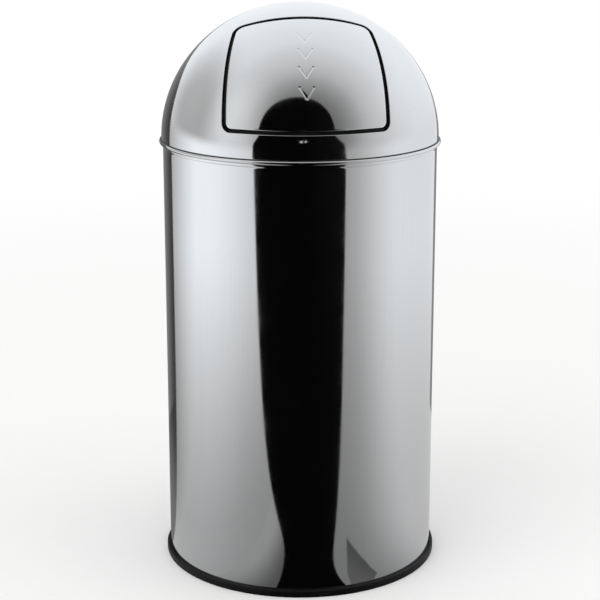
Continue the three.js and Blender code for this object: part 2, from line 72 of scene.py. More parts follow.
def newMaterial(name):
    material = bpy.data.materials.new(name)
    material.use_nodes = True
    return material, material.node_tree, material.node_tree.nodes["Principled BSDF"]


viewpoint = {"distance": 2.1, "height": 0.891, "azimuth": -3.0, "pitch": 14.92, "lens": 102.3, "sensor": 36.0}
aroundBin = math.radians(viewpoint["azimuth"])
camera = bpy.data.objects.new("camera", bpy.data.cameras.new("camera"))
camera.data.lens = viewpoint["lens"]
camera.data.sensor_width = viewpoint["sensor"]
camera.data.clip_end = 60
camera.location = (
    viewpoint["distance"] * math.sin(aroundBin),
    -viewpoint["distance"] * math.cos(aroundBin),
    viewpoint["height"],
)
camera.rotation_euler = (math.radians(90 - viewpoint["pitch"]), 0, aroundBin)
scene.collection.objects.link(camera)
scene.camera = camera
print("camera placed")


steel = {
    "colour": "d9dadb",
    "roughness": (0.045, 0.10),
    "hazeSize": 55,        # mm across a cloudy patch
    "hazeShare": 0.6,
    "smudgeSize": 16,      # mm across a wiping mark
    "smudgeShare": 0.4,
    "lineSpacing": 1.6,    # mm between polishing lines, drawn coarser than the real grit so that they show
    "lineStretch": 0.012,  # how much slower the lines change along their length
    "lineHeight": 0.0003,  # mm
    "lineTone": 0.975,
    "waveSize": 95,        # mm between the sheet's slow waves
    "waveHeight": 0.10,    # mm
    "jointShade": "4a4845",      # painted shade in the joint between the dome's foot and the bead
    "jointRoughness": 0.5,
    # mm above the floor where the steel is unshaded and where the painted shade is full, on each side of the
    # joint
    "bodyJointShade": (540.6, 541.2),
    "domeJointShade": (542.7, 542.0),
}


# Stainless sheet, rolled bright and polished: a near mirror, broken by faint lines along the polishing
# direction, cloudy patches where it has been wiped, and slow waves from the rolling. Between the two
# heights it is darkened and roughened into painted shade in the joint, from unshaded to full.
def polishedStainless(name, linesRunUp, unshadedHeight, shadedHeight):
    material, tree, shader = newMaterial(name)
    place = addNode(tree, "TexCoord").outputs["Object"]
    x, y, z = addNode(tree, "SeparateXYZ", {}, {0: place}).outputs
    linePlace, stretch = place, steel["lineStretch"]
    if not linesRunUp:
        # Spun: the lines follow the circles, so they change with radius and height and slowly round the axis.
        flat = addNode(tree, "CombineXYZ", {}, {0: x, 1: y})
        radius = addNode(tree, "VectorMath", {"operation": "LENGTH"}, {0: flat}).outputs["Value"]
        around = addNode(tree, "Math", {"operation": "ADD"}, {0: x, 1: y})
        linePlace = addNode(tree, "CombineXYZ", {}, {0: radius, 1: z, 2: around})
        stretch *= 3
    stretched = addNode(tree, "Mapping", {"Scale": [1, 1, stretch]}, {"Vector": linePlace})
    lines = addNode(tree, "TexNoise", {"Scale": 1 / (steel["lineSpacing"] * mm), "Detail": 3.0,
                                       "Roughness": 0.6}, {"Vector": stretched})
    haze = addNode(tree, "TexNoise", {"Scale": 1 / (steel["hazeSize"] * mm), "Detail": 4.0},
                   {"Vector": place})
    smudge = addNode(tree, "TexNoise", {"Scale": 1 / (steel["smudgeSize"] * mm), "Detail": 5.0,
                                        "Roughness": 0.7, "Distortion": 1.2}, {"Vector": place})
    waves = addNode(tree, "TexNoise", {"Scale": 1 / (steel["waveSize"] * mm), "Detail": 1.0},
                    {"Vector": place})
    smudges = addNode(tree, "Math", {"operation": "MULTIPLY", 1: steel["smudgeShare"]}, {0: smudge})
    cloudy = addNode(tree, "Math", {"operation": "MULTIPLY_ADD", 1: steel["hazeShare"]},
                     {0: haze, 2: smudges})
    low, high = steel["roughness"]
    rough = addNode(tree, "MapRange", {"From Min": 0.35, "From Max": 0.65, "To Min": low, "To Max": high},
                    {"Value": cloudy})
    # Painted shade in the joint between the dome's foot and the bead: darker, rougher steel between the two
    # heights.
    jointShaded = addNode(tree, "MapRange", {"From Min": unshadedHeight * mm, "From Max": shadedHeight * mm},
                     {"Value": z})
    dulled = addNode(tree, "Mix", {"data_type": "FLOAT", 3: steel["jointRoughness"]}, {0: jointShaded, 2: rough})
    bright = hexToLinear(steel["colour"])
    dull = [steel["lineTone"] * c for c in bright[:3]] + [1.0]
    tone = addNode(tree, "MapRange", {"From Min": 0.3, "From Max": 0.7}, {"Value": lines})
    unshaded = addNode(tree, "Mix", {"data_type": "RGBA", 6: dull, 7: bright}, {0: tone})
    colour = addNode(tree, "Mix", {"data_type": "RGBA", 7: hexToLinear(steel["jointShade"])},
                     {0: jointShaded, 6: unshaded.outputs[2]})
    slow = addNode(tree, "Bump", {"Strength": 1.0, "Distance": steel["waveHeight"] * mm}, {"Height": waves})
    fine = addNode(tree, "Bump", {"Strength": 1.0, "Distance": steel["lineHeight"] * mm},
                   {"Height": lines, "Normal": slow})
    linkInputs(tree, shader, {"Base Color": colour.outputs[2], "Roughness": dulled, "Normal": fine})
    shader.inputs["Metallic"].default_value = 1.0
    return material


zincCoat = {
    "pale": "b4babd",
    "dark": "8b9296",
    "roughness": (0.3, 0.5),
    "metallic": 0.95,
    "spangle": 7,          # mm across a crystal
    "featherSize": 1.5,    # mm between the fronds inside a crystal
    "featherShare": 0.35,
    "relief": 0.05,        # mm
}


# Hot-dip galvanised sheet: zinc crystals a few millimetres across, each with its own brightness and gloss.
def galvanisedSheet():
    material, tree, shader = newMaterial("galvanisedSheet")
    place = addNode(tree, "TexCoord").outputs["Object"]
    spangle = zincCoat["spangle"] * mm
    warp = addNode(tree, "TexNoise", {"Scale": 1 / (spangle * 2), "Detail": 2.0}, {"Vector": place})
    offset = addNode(tree, "VectorMath", {"operation": "MULTIPLY_ADD", 1: [spangle / 2] * 3},
                     {0: warp.outputs["Color"], 2: place})
    crystals = addNode(tree, "TexVoronoi", {"Scale": 1 / spangle}, {"Vector": offset})
    grey = addNode(tree, "RGBToBW", {}, {0: crystals.outputs["Color"]})
    feather = addNode(tree, "TexNoise", {"Scale": 1 / (zincCoat["featherSize"] * mm), "Detail": 3.0},
                      {"Vector": place})
    mixed = addNode(tree, "Math", {"operation": "MULTIPLY_ADD", 1: zincCoat["featherShare"]},
                    {0: feather, 2: grey})
    colour = addNode(tree, "Mix", {"data_type": "RGBA", 6: hexToLinear(zincCoat["dark"]),
                                   7: hexToLinear(zincCoat["pale"])}, {0: mixed})
    low, high = zincCoat["roughness"]
    rough = addNode(tree, "MapRange", {"To Min": high, "To Max": low}, {"Value": mixed})
    bump = addNode(tree, "Bump", {"Strength": 0.4, "Distance": zincCoat["relief"] * mm}, {"Height": mixed})
    linkInputs(tree, shader, {"Base Color": colour.outputs[2], "Roughness": rough, "Normal": bump})
    shader.inputs["Metallic"].default_value = zincCoat["metallic"]
    return material


# The next three finishes each have patches and a grain, given as (mm across, detail, roughness of the
# pattern), and a bump, given as (strength, mm). Zinc-plated mild steel is a thin bright coat, a little blue,
# with duller passivated patches.
zincPlate = {
    "name": "zincPlate", "colours": ("9fa6ad", "c9cdd0"), "metallic": 1.0, "specular": 0.5,
    "roughness": (0.22, 0.4), "patches": (7, 4.0, 0.5), "between": (0, 1), "grain": (0.8, 2.0, 0.5),
    "bump": (0.3, 0.03),
}
# Hard-drawn spring wire, oiled: dark, with a patchy film of oil.
springSteel = {
    "name": "springSteel", "colours": ("5d5f62", "85888c"), "metallic": 1.0, "specular": 0.5,
    "roughness": (0.22, 0.45), "patches": (3, 4.0, 0.5), "between": (0, 1), "grain": (3, 4.0, 0.5),
    "bump": (0.3, 0.02),
}
# Moulded black polypropylene: satin, with the fine spark grain of its mould and greyer scuffed patches.
mouldedPlastic = {
    "name": "mouldedPolypropylene", "colours": ("090909", "151515"), "metallic": 0.0, "specular": 0.25,
    "roughness": (0.45, 0.62), "patches": (22, 5.0, 0.65), "between": (0.5, 0.75), "grain": (0.9, 3.0, 0.7),
    "bump": (0.35, 0.06),
}


def patchyFinish(look):
    material, tree, shader = newMaterial(look["name"])
    place = addNode(tree, "TexCoord").outputs["Object"]
    patches, grain = [
        addNode(tree, "TexNoise", {"Scale": 1 / (size * mm), "Detail": detail, "Roughness": uneven},
                {"Vector": place})
        for size, detail, uneven in (look["patches"], look["grain"])
    ]
    low, high = look["between"]
    worn = addNode(tree, "MapRange", {"From Min": low, "From Max": high}, {"Value": patches})
    first, second = [hexToLinear(colour) for colour in look["colours"]]
    colour = addNode(tree, "Mix", {"data_type": "RGBA", 6: first, 7: second}, {0: worn})
    low, high = look["roughness"]
    rough = addNode(tree, "MapRange", {"To Min": low, "To Max": high}, {"Value": patches})
    strength, height = look["bump"]
    bump = addNode(tree, "Bump", {"Strength": strength, "Distance": height * mm}, {"Height": grain})
    linkInputs(tree, shader, {"Base Color": colour.outputs[2], "Roughness": rough, "Normal": bump})
    shader.inputs["Metallic"].default_value = look["metallic"]
    shader.inputs["Specular IOR Level"].default_value = look["specular"]
    return material


bodySteel = polishedStainless("polishedStainlessRolled", True, *steel["bodyJointShade"])
domeSteel = polishedStainless("polishedStainlessSpun", False, *steel["domeJointShade"])
galvanised = galvanisedSheet()
plated, spring, plastic = [patchyFinish(look) for look in (zincPlate, springSteel, mouldedPlastic)]
print("materials made")


# Rounds the corners of a [radius, height] or [out, depth] profile; a corner's third number is its radius.
def rounded(profile, closed=True, steps=5):
    points = []
    for i, corner in enumerate(profile):
        here = Vector(corner[:2])
        radius = corner[2] if len(corner) > 2 else 0
        if not radius or (not closed and i in (0, len(profile) - 1)):
            points.append(here)
            continue
        before = Vector(profile[i - 1][:2]) - here
        after = Vector(profile[(i + 1) % len(profile)][:2]) - here
        cut = min(radius / math.tan(before.angle(after) / 2), 0.48 * before.length, 0.48 * after.length)
        start, end = here + before.normalized() * cut, here + after.normalized() * cut
        for step in range(steps + 1):
            t = step / steps
            points.append(start * (1 - t) ** 2 + here * 2 * t * (1 - t) + end * t ** 2)
    return [(p.x, p.y) for p in points]


def arcPoints(centre, radius, start, end, steps):
    angles = [math.radians(start + (end - start) * i / steps) for i in range(steps + 1)]
    return [(centre[0] + radius * math.cos(a), centre[1] + radius * math.sin(a)) for a in angles]


def circlePoints(radius, height, count=96):
    angles = [2 * math.pi * k / count for k in range(count)]
    return [(radius * math.cos(angle), radius * math.sin(angle), height) for angle in angles]


# Joins rings of points, in millimetres, into a smooth mesh; a ring of one point is a pole.
def meshFromRings(rings, joinEnds=False, sharp=40, capEnds=False, extraFaces=()):
    points, starts = [], []
    for ring in rings:
        starts.append(len(points))
        points.extend(Vector(p) * mm for p in ring)
    faces = []
    pairs = [(i, i + 1) for i in range(len(rings) - 1)]
    if joinEnds:
        pairs.append((len(rings) - 1, 0))
    for i, j in pairs:
        a, b, na, nb = starts[i], starts[j], len(rings[i]), len(rings[j])
        for k in range(max(na, nb)):
            n = (k + 1) % max(na, nb)
            if na == 1:
                faces.append((a, b + n, b + k))
            elif nb == 1:
                faces.append((a + k, a + n, b))
            else:
                faces.append((a + k, a + n, b + n, b + k))
    if capEnds:
        faces += [tuple(range(starts[i], starts[i] + len(rings[i]))) for i in (0, -1)]
    mesh = bpy.data.meshes.new("piece")
    mesh.from_pydata(points, [], faces + list(extraFaces))
    work = bmesh.new()
    work.from_mesh(mesh)
    bmesh.ops.recalc_face_normals(work, faces=work.faces)
    work.to_mesh(mesh)
    work.free()
    mesh.shade_smooth()
    mesh.set_sharp_from_angle(angle=math.radians(sharp))
    return mesh


# Turns a profile of [radius, height] about Z. Seam adds (width, height) of a weld line up the back.
def turned(profile, segments=240, closed=True, seam=None, turn=Matrix()):
    angles = [2 * math.pi * k / segments for k in range(segments)]
    if seam:
        width, raised = seam
        reach = max(r for r, z in profile)
        angles += [math.pi / 2 + width / reach * (i / 6 - 1) for i in range(13) if i != 6]
        angles.sort()
    rings = []
    for radius, height in profile:
        if radius < 1e-6:
            rings.append([turn @ Vector((0, 0, height))])
            continue
        ring = []
        for angle in angles:
            r = radius
            if seam:
                away = abs(angle - math.pi / 2) * radius / width
                # The seam is dressed flat round the bead.
                r += raised * max(0.0, 1 - away ** 2) ** 2 * min(1.0, max(0.0, (reach - radius - 1.5) / 2))
            ring.append(turn @ Vector((r * math.cos(angle), r * math.sin(angle), height)))
        rings.append(ring)
    return meshFromRings(rings, joinEnds=closed)


# A round wire along a line of points.
def wire(line, radius, firstSide, sides=16):
    line = [Vector(p) for p in line]
    side, rings = Vector(firstSide), []
    for i, point in enumerate(line):
        ahead = (line[min(i + 1, len(line) - 1)] - line[max(i - 1, 0)]).normalized()
        side = (side - ahead * side.dot(ahead)).normalized()
        other = ahead.cross(side)
        turns = [2 * math.pi * k / sides for k in range(sides)]
        rings.append([point + (side * math.cos(a) + other * math.sin(a)) * radius for a in turns])
        if i in (0, len(line) - 1):
            # Each end is chamfered by a smaller ring beyond it.
            beyond = ahead * radius * (0.25 if i else -0.25)
            rings.insert(len(rings) if i else 0, [point + (p - point) * 0.8 + beyond for p in rings[-1]])
    return meshFromRings(rings, capEnds=True)


def addPiece(name, mesh, material, body, *nodes):
    mesh.name = name
    mesh.materials.append(material)
    piece = bpy.data.objects.new(name, mesh)
    scene.collection.objects.link(piece)
    if body:
        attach(piece, body)
    if nodes:
        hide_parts(*nodes)
    return piece


bothSides = (("right", 1), ("left", -1))

tube = {
    "radius": 170.0, "sheet": 0.6, "foot": 2.9, "curlRadius": 2.6, "curlEnd": -110, "rim": 541.5,
    "seamWidth": 1.1, "seamHeight": 0.12,
    # the faint swage that the curling leaves under the bead
    "step": 0.35, "stepLow": 532.4, "stepHigh": 533.4, "stepRound": 0.3, "stepEase": 0.06,
}
bore = tube["radius"] - tube["sheet"]
curlCentre = (bore + tube["curlRadius"], tube["rim"] - tube["curlRadius"])
tubeProfile = [(bore, tube["foot"])]
tubeProfile += arcPoints(curlCentre, tube["curlRadius"], 180, tube["curlEnd"], 26)
tubeProfile += arcPoints(curlCentre, tube["curlRadius"] - tube["sheet"], tube["curlEnd"], 180, 26)
swelled = tube["radius"] + tube["step"]
tubeProfile += [
    (swelled, tube["stepHigh"] + 2),
    (swelled, tube["stepHigh"] + tube["stepRound"]),
    (swelled - tube["stepEase"], tube["stepHigh"]),
    (tube["radius"] + tube["stepEase"], tube["stepLow"]),
    (tube["radius"], tube["stepLow"] - tube["stepRound"]),
]
# Long straight stretches are cut up so that the shading stays even.
wallSteps, wallTop = 40, tube["stepLow"] - 2
wallDrop = (tube["foot"] - wallTop) / wallSteps
tubeProfile += [(tube["radius"], wallTop + wallDrop * i) for i in range(wallSteps + 1)]
tubeSeam = (tube["seamWidth"], tube["seamHeight"])
addPiece("bodyTube", turned(tubeProfile, 360, seam=tubeSeam), bodySteel, "body", "body_shell")

footRing = {
    "outer": 174.5, "height": 9.0, "sole": 2.6, "inner": 165.2, "groove": 168.0, "innerHeight": 9.7,
    "fit": 0.3,  # between the ring and the tube
}
grooveOuter = tube["radius"] + footRing["fit"]
ringProfile = rounded([
    (footRing["inner"], 0, 0.6),
    (footRing["outer"], 0, 1.5),
    (footRing["outer"], footRing["height"], 2.6),
    (grooveOuter, footRing["height"], 0.4),
    (grooveOuter, footRing["sole"]),
    (footRing["groove"], footRing["sole"]),
    (footRing["groove"], footRing["innerHeight"]),
    (footRing["inner"], footRing["innerHeight"], 0.6),
])
addPiece("footRing", turned(ringProfile, 240), plastic, "body", "base_ring")

plate = {
    "bottom": 10.0, "sheet": 0.8, "edge": 169.1, "skirt": 2.9,
    "swage": 120.0, "swageHalf": 6, "swageDepth": 0.35,
}
plateTop = plate["bottom"] + plate["sheet"]
swageInner, swageOuter = plate["swage"] - plate["swageHalf"], plate["swage"] + plate["swageHalf"]
plateProfile = rounded([
    (0, plate["bottom"]),
    (swageInner, plate["bottom"], 2),
    (plate["swage"], plate["bottom"] + plate["swageDepth"], 2),
    (swageOuter, plate["bottom"], 2),
    (plate["edge"] - plate["sheet"], plate["bottom"], 0.4),
    (plate["edge"] - plate["sheet"], plate["skirt"]),
    (plate["edge"], plate["skirt"]),
    (plate["edge"], plateTop, 1.2),
    (swageOuter, plateTop, 2),
    (plate["swage"], plateTop - plate["swageDepth"], 2),
    (swageInner, plateTop, 2),
    (0, plateTop),
], closed=False)
addPiece("floorPlate", turned(plateProfile, 180, closed=False), galvanised, "body", "base_plate")
print("body and foot built")


dome = {
    "radius": 172.0, "rise": 165.7, "base": 541.8, "sheet": 0.7, "lip": 3.0, "lipRound": 1.1,
    "lead": 8,  # how far from the opening's edge the lip's rings begin
    "outsideRings": 84, "insideRings": 60,
}
opening = {
    "elevation": 40, "bottom": -84.2, "top": 74.5, "halfWidth": 95.4, "widestAt": -62.0,
    "bottomSweep": 251.0, "sideSweep": 583.0, "lowerCorner": 12.0, "upperCorner": 13.0, "band": 4.3,
}
domeCentre = Vector((0, 0, dome["base"]))
push = math.radians(opening["elevation"])
pushAxis = Vector((0, -math.cos(push), math.sin(push)))
pushUp = Vector((0, math.sin(push), math.cos(push)))


# Where circles of two radii about two centres meet, on the lower right.
def meetingPoint(a, fromA, b, fromB):
    line = b - a
    along = (fromA ** 2 - fromB ** 2 + line.length_squared) / (2 * line.length)
    aside = math.sqrt(fromA ** 2 - along ** 2)
    ahead = line.normalized()
    return a + ahead * along + Vector((-ahead.y, ahead.x)) * aside


def headingFrom(centre, point):
    return math.degrees(math.atan2(point.y - centre.y, point.x - centre.x))


# The opening's outline as (point, outward normal), seen along the push direction. Every corner is an arc.
def openingOutline(detail):
    bottomCentre = Vector((0, opening["bottom"] + opening["bottomSweep"]))
    sideCentre = Vector((opening["halfWidth"] - opening["sideSweep"], opening["widestAt"]))
    lowerRound, upperRound = opening["lowerCorner"], opening["upperCorner"]
    lower = meetingPoint(bottomCentre, opening["bottomSweep"] - lowerRound, sideCentre,
                         opening["sideSweep"] - lowerRound)
    upperHeight = opening["top"] - upperRound
    reach = math.sqrt((opening["sideSweep"] - upperRound) ** 2 - (upperHeight - sideCentre.y) ** 2)
    upper = Vector((sideCentre.x + reach, upperHeight))
    bottomEnd = headingFrom(bottomCentre, lower)
    sideStart, sideEnd = headingFrom(sideCentre, lower), headingFrom(sideCentre, upper)
    right = []
    for centre, radius, start, end, steps in (
        (bottomCentre, opening["bottomSweep"], -90, bottomEnd, 16),
        (lower, lowerRound, bottomEnd, sideStart, 10),
        (sideCentre, opening["sideSweep"], sideStart, sideEnd, 26),
        (upper, upperRound, sideEnd, 90, 10),
    ):
        for i in range(0 if not right else 1, steps * detail + 1):
            angle = math.radians(start + (end - start) * i / (steps * detail))
            normal = Vector((math.cos(angle), math.sin(angle)))
            right.append((centre + normal * radius, normal))
    topSteps = 14 * detail
    corner = right[-1][0]
    for i in range(1, topSteps + 1):
        right.append((Vector((corner.x * (1 - i / topSteps), corner.y)), Vector((0, 1))))
    left = [(Vector((-p.x, p.y)), Vector((-n.x, n.y))) for p, n in right[1:-1]][::-1]
    return right + left


# The point of the dome, at a depth under its surface, that lies at (x, t) in the push direction's view.
def onDome(x, t, depth):
    a, b = dome["radius"] - depth, dome["rise"] - depth
    c, s = math.cos(push), math.sin(push)
    square = (c / a) ** 2 + (s / b) ** 2
    linear = 2 * t * c * s * (1 / b ** 2 - 1 / a ** 2)
    constant = (x / a) ** 2 + (t * s / a) ** 2 + (t * c / b) ** 2 - 1
    p = (-linear + math.sqrt(linear ** 2 - 4 * square * constant)) / (2 * square)
    return domeCentre + Vector((x, 0, 0)) + pushAxis * p + pushUp * t


def outlineRing(outline, outset, depth):
    return [onDome(*(p + n * outset), depth) for p, n in outline]


# A ring inside the outline, drawn in towards the middle by a share.
def innerRing(outline, outset, share, depth, press=None):
    ring = []
    for p, n in outline:
        place = flapMiddle + (p + n * outset - flapMiddle) * share
        ring.append(onDome(*place, depth + (press(place) if press else 0)))
    return ring


# Rings from the opening's edge out to the dome's foot, each column along its own great circle.
def outerRings(edgeRing, depth, steps):
    a, b = dome["radius"] - depth, dome["rise"] - depth
    columns = []
    for point in edgeRing:
        way = (point - domeCentre).normalized()
        across = (way - pushAxis * way.dot(pushAxis)).normalized()
        start = math.acos(way.dot(pushAxis))
        foot = math.atan2(-pushAxis.z, across.z) % math.pi if abs(across.z) > 1e-9 else math.pi / 2
        column = []
        for i in range(1, steps + 1):
            angle = start + (foot - start) * i / steps
            d = pushAxis * math.cos(angle) + across * math.sin(angle)
            column.append(domeCentre + d / math.sqrt((d.x ** 2 + d.y ** 2) / a ** 2 + (d.z / b) ** 2))
        columns.append(column)
    return [[column[i] for column in columns] for i in range(steps)]


flapMiddle = Vector((0, -6))
outline = openingOutline(1)
edge, lipStart = opening["band"] / 2, opening["band"] / 2 + dome["lead"]
lipProfile = rounded([
    (lipStart, dome["sheet"]),
    (edge + dome["sheet"], dome["sheet"], dome["lipRound"] - dome["sheet"]),
    (edge + dome["sheet"], dome["lip"]),
    (edge, dome["lip"]),
    (edge, 0, dome["lipRound"]),
    (lipStart, 0),
], closed=False, steps=6)
outsideRings = outerRings(outlineRing(outline, lipStart, 0), 0, dome["outsideRings"])
insideRings = outerRings(outlineRing(outline, lipStart, dome["sheet"]), dome["sheet"], dome["insideRings"])
domeRings = insideRings[::-1] + [outlineRing(outline, o, d) for o, d in lipProfile] + outsideRings
addPiece("domeShell", meshFromRings(domeRings, joinEnds=True, sharp=50), domeSteel, "lid", "dome_shell")

# A column of plain chevrons is pressed into the flap, pointing to where a hand pushes.
marks = {
    "tops": (43, 18, -8, -34), "halfWidth": 8.0, "drop": 13.0, "strokeHalf": 1.35, "depth": 0.6,
    "dot": 1.9,  # the radius of the deeper dot at each stroke's end
}


def segmentDistance(p, a, b):
    line = b - a
    along = max(0.0, min(1.0, (p - a).dot(line) / line.length_squared))
    return (p - a - line * along).length


strokes, dots = [], []
for top in marks["tops"]:
    tip = Vector((0, top - marks["drop"]))
    for x in (-marks["halfWidth"], marks["halfWidth"]):
        strokes.append((Vector((x, top)), tip))
        dots.append(Vector((x, top)))
    dots.append(tip)


def pressDepth(place):
    if abs(place.x) > marks["halfWidth"] + marks["dot"]:
        return 0
    stroke = min(segmentDistance(place, a, b) for a, b in strokes) / marks["strokeHalf"]
    dot = min((place - d).length for d in dots) / marks["dot"]
    near = min(stroke, dot)
    return marks["depth"] * (0.5 + 0.5 * math.cos(math.pi * near)) if near < 1 else 0


# The flap hangs a little low on the play of its pin.
skin = {
    "edge": -opening["band"] / 2, "sheet": 0.7, "return": 2.6, "round": 1.1, "hang": 0.4, "lead": 2,
    "rings": 120, "ringsPerBackRing": 6,
}
fineOutline = [(p - Vector((0, skin["hang"])), n) for p, n in openingOutline(3)]
skinStart, innerEdge = skin["edge"] - skin["lead"], skin["edge"] - skin["sheet"]
edgeProfile = rounded([
    (skinStart, 0),
    (skin["edge"], 0, skin["round"]),
    (skin["edge"], skin["return"], 0.2),
    (innerEdge, skin["return"], 0.2),
    (innerEdge, skin["sheet"], skin["round"] - skin["sheet"]),
    (skinStart, skin["sheet"]),
], closed=False, steps=5)


# The pressed skin's rings from the middle outwards, on its front or its back.
def skinFace(depth, ringStep):
    shares = [i / skin["rings"] for i in range(ringStep, skin["rings"] + 1, ringStep)]
    return [[onDome(*flapMiddle, depth)]] + [
        innerRing(fineOutline, skinStart, share, depth, pressDepth) for share in shares
    ]


skinRings = skinFace(0, 1) + [outlineRing(fineOutline, o, d) for o, d in edgeProfile[1:]]
skinRings += skinFace(skin["sheet"], skin["ringsPerBackRing"])[-2::-1]
addPiece("flapSkin", meshFromRings(skinRings, sharp=50), domeSteel, "flap", "flap_skin")

tray = {
    "front": 1.0, "sheet": 2.4, "edge": -3.5, "rimFront": 3.3, "rimBack": 5.5, "rimEdge": 6.5, "window": -8.0,
    "lead": 4, "rings": 20,
}
trayBack = tray["front"] + tray["sheet"]
trayProfile = rounded([
    (tray["edge"] - tray["lead"], tray["front"]),
    (tray["edge"], tray["front"], 0.6),
    (tray["edge"], tray["rimFront"]),
    (tray["rimEdge"], tray["rimFront"], 0.7),
    (tray["rimEdge"], tray["rimBack"], 0.7),
    (tray["window"], tray["rimBack"], 0.7),
    (tray["window"], trayBack, 0.8),
    (tray["window"] - tray["lead"], trayBack),
], closed=False, steps=4)


def trayFace(outset, depth):
    shares = [i / tray["rings"] for i in range(1, tray["rings"])]
    return [[onDome(*flapMiddle, depth)]] + [innerRing(outline, outset, share, depth) for share in shares]


trayRings = trayFace(tray["edge"] - tray["lead"], tray["front"])
trayRings += [outlineRing(outline, o, d) for o, d in trayProfile]
trayRings += trayFace(tray["window"] - tray["lead"], trayBack)[::-1]
addPiece("flapTray", meshFromRings(trayRings, sharp=50), plastic, "flap", "flap_backing")
print("dome and flap built")


hinge = {
    "beyondEdge": 25.0, "depth": 18.0, "pinRadius": 2.5, "headRadius": 4.5, "headLength": 2.0, "tail": 3.2,
    "bracketOuter": 43.5, "gap": 0.3,
}
arms = {"outer": 36.5, "foot": 14.0, "sheet": 1.5, "start": 14.0, "length": 45.0}
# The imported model's dome is in facets, and its small pieces sit below the deepest of them.
facetSag = dome["radius"] * (2 - math.cos(math.pi / 40) - math.cos(math.pi / 60))
topPoint = onDome(0, opening["top"], 0) - domeCentre
topEdge = math.atan2(topPoint.z, -topPoint.y)


def pastTopEdge(distance):
    return topEdge + distance / dome["radius"]


# The point at an elevation in radians and a place across, at a depth under the dome's surface.
def underDome(elevation, depth, across=0.0):
    c, s = math.cos(elevation), math.sin(elevation)
    a, b = dome["radius"] - depth, dome["rise"] - depth
    reach = math.sqrt(1 - (across / a) ** 2) / math.hypot(c / a, s / b)
    return Vector((across, -reach * c, dome["base"] + reach * s))


pinCentre = underDome(pastTopEdge(hinge["beyondEdge"]), hinge["depth"])


pads = {"margin": 2.0, "tuck": 2, "bevel": 0.5, "sideSteps": 12}


# Pads on the tray under each arm's foot, as blocks that follow the dome's curve.
def padMesh(sign):
    low = pastTopEdge(-arms["start"] - arms["length"] - pads["margin"])
    high = pastTopEdge(-arms["start"] + pads["margin"])
    inner, outer = arms["outer"] - arms["foot"] - pads["margin"], arms["outer"] + pads["margin"]
    front, back, bevel = tray["front"] + pads["tuck"], tray["rimBack"], pads["bevel"]
    corners = [(inner, low), (outer, low), (outer, high), (inner, high), (inner, low)]
    rings = []
    for depth, drawn in ((front, 0), (back - bevel, 0), (back, bevel)):
        raised = drawn / dome["radius"]
        ring = []
        for (x0, e0), (x1, e1) in zip(corners, corners[1:]):
            for i in range(pads["sideSteps"]):
                share = i / pads["sideSteps"]
                x = min(max(x0 + (x1 - x0) * share, inner + drawn), outer - drawn)
                elevation = min(max(e0 + (e1 - e0) * share, low + raised), high - raised)
                ring.append(underDome(elevation, depth, sign * x))
        rings.append(ring)
    return meshFromRings(rings, capEnds=True, sharp=30)


for label, sign in bothSides:
    addPiece("trayPad" + label.capitalize(), padMesh(sign), plastic, "flap")

screws = {
    "inset": 10.0, "radius": 2.0, "headRadius": 3.8, "headHeight": 2.2, "crownFall": 0.35, "bite": 3.2,
    "tip": 1.5, "recess": 1.1, "recessHalf": 0.45, "recessReach": 2.1,
}


# A pan head with a cross recess, its shank below it; heights run down into the flap.
def screwMesh(place, segments=48):
    head, high, shank, recess = screws["headRadius"], screws["headHeight"], screws["radius"], screws["recess"]
    rings = [[(0, 0, high - recess)]]
    for share in (0.12, 0.25, 0.36, 0.44, 0.52, 0.62, 0.74, 0.86, 0.95):
        ring = []
        for x, y, z in circlePoints(head * share, high * (1 - screws["crownFall"] * share ** 3), segments):
            near, far = sorted((abs(x), abs(y)))
            inCross = near < screws["recessHalf"] and far < screws["recessReach"]
            ring.append((x, y, z - recess if inCross else z))
        rings.append(ring)
    shankEnd = -screws["bite"] - screws["tip"]
    for radius, height in ((head, high * 0.45), (head, 0.15), (head - 0.15, 0), (shank, 0), (shank, shankEnd),
                           (shank * 0.7, shankEnd - 0.5)):
        rings.append(circlePoints(radius, height, segments))
    rings.append([(0, 0, shankEnd - 0.5)])
    return meshFromRings([[place @ Vector(p) for p in ring] for ring in rings], sharp=35)


screwX = arms["outer"] - arms["sheet"] - (arms["foot"] - arms["sheet"]) / 2
seatDepth = tray["rimBack"] + hinge["gap"] + arms["sheet"] + facetSag
elevations = {
    "lower": pastTopEdge(screws["inset"] - arms["start"] - arms["length"]),
    "upper": pastTopEdge(-arms["start"] - screws["inset"]),
}
for level, elevation in elevations.items():
    for label, sign in bothSides:
        surface = underDome(elevation, 0, sign * screwX)
        x, y, z = surface - domeCentre
        outward = Vector((x, y, z * (dome["radius"] / dome["rise"]) ** 2)).normalized()
        facing = outward.to_track_quat("Z", "Y").to_matrix().to_4x4()
        place = Matrix.Translation(surface - outward * seatDepth) @ facing @ Matrix.Rotation(math.pi, 4, "X")
        addPiece(level + "Screw" + label.capitalize(), screwMesh(place), plated, "flap",
                 "arm_screw_" + level + "_" + label)

alongX = Matrix.Translation(pinCentre) @ Matrix.Rotation(math.pi / 2, 4, "Y")
headSeat = -(hinge["bracketOuter"] + hinge["gap"])
pinEnd = hinge["bracketOuter"] + hinge["tail"]
pinProfile = rounded([
    (0, headSeat - hinge["headLength"]),
    (hinge["headRadius"] - 1.2, headSeat - hinge["headLength"], 1.5),
    (hinge["headRadius"], headSeat - 0.9, 0.6),
    (hinge["headRadius"], headSeat, 0.2),
    (hinge["pinRadius"], headSeat, 0.2),
    (hinge["pinRadius"], pinEnd, 0.6),
    (0, pinEnd),
], closed=False)
addPiece("hingePin", turned(pinProfile, 48, closed=False, turn=alongX), plated, "lid", "hinge_pin")


clip = {"radius": 5.5, "inner": 3.9, "sheet": 1.2, "play": 0.05, "mouth": 34, "bevel": 0.15, "steps": 72}


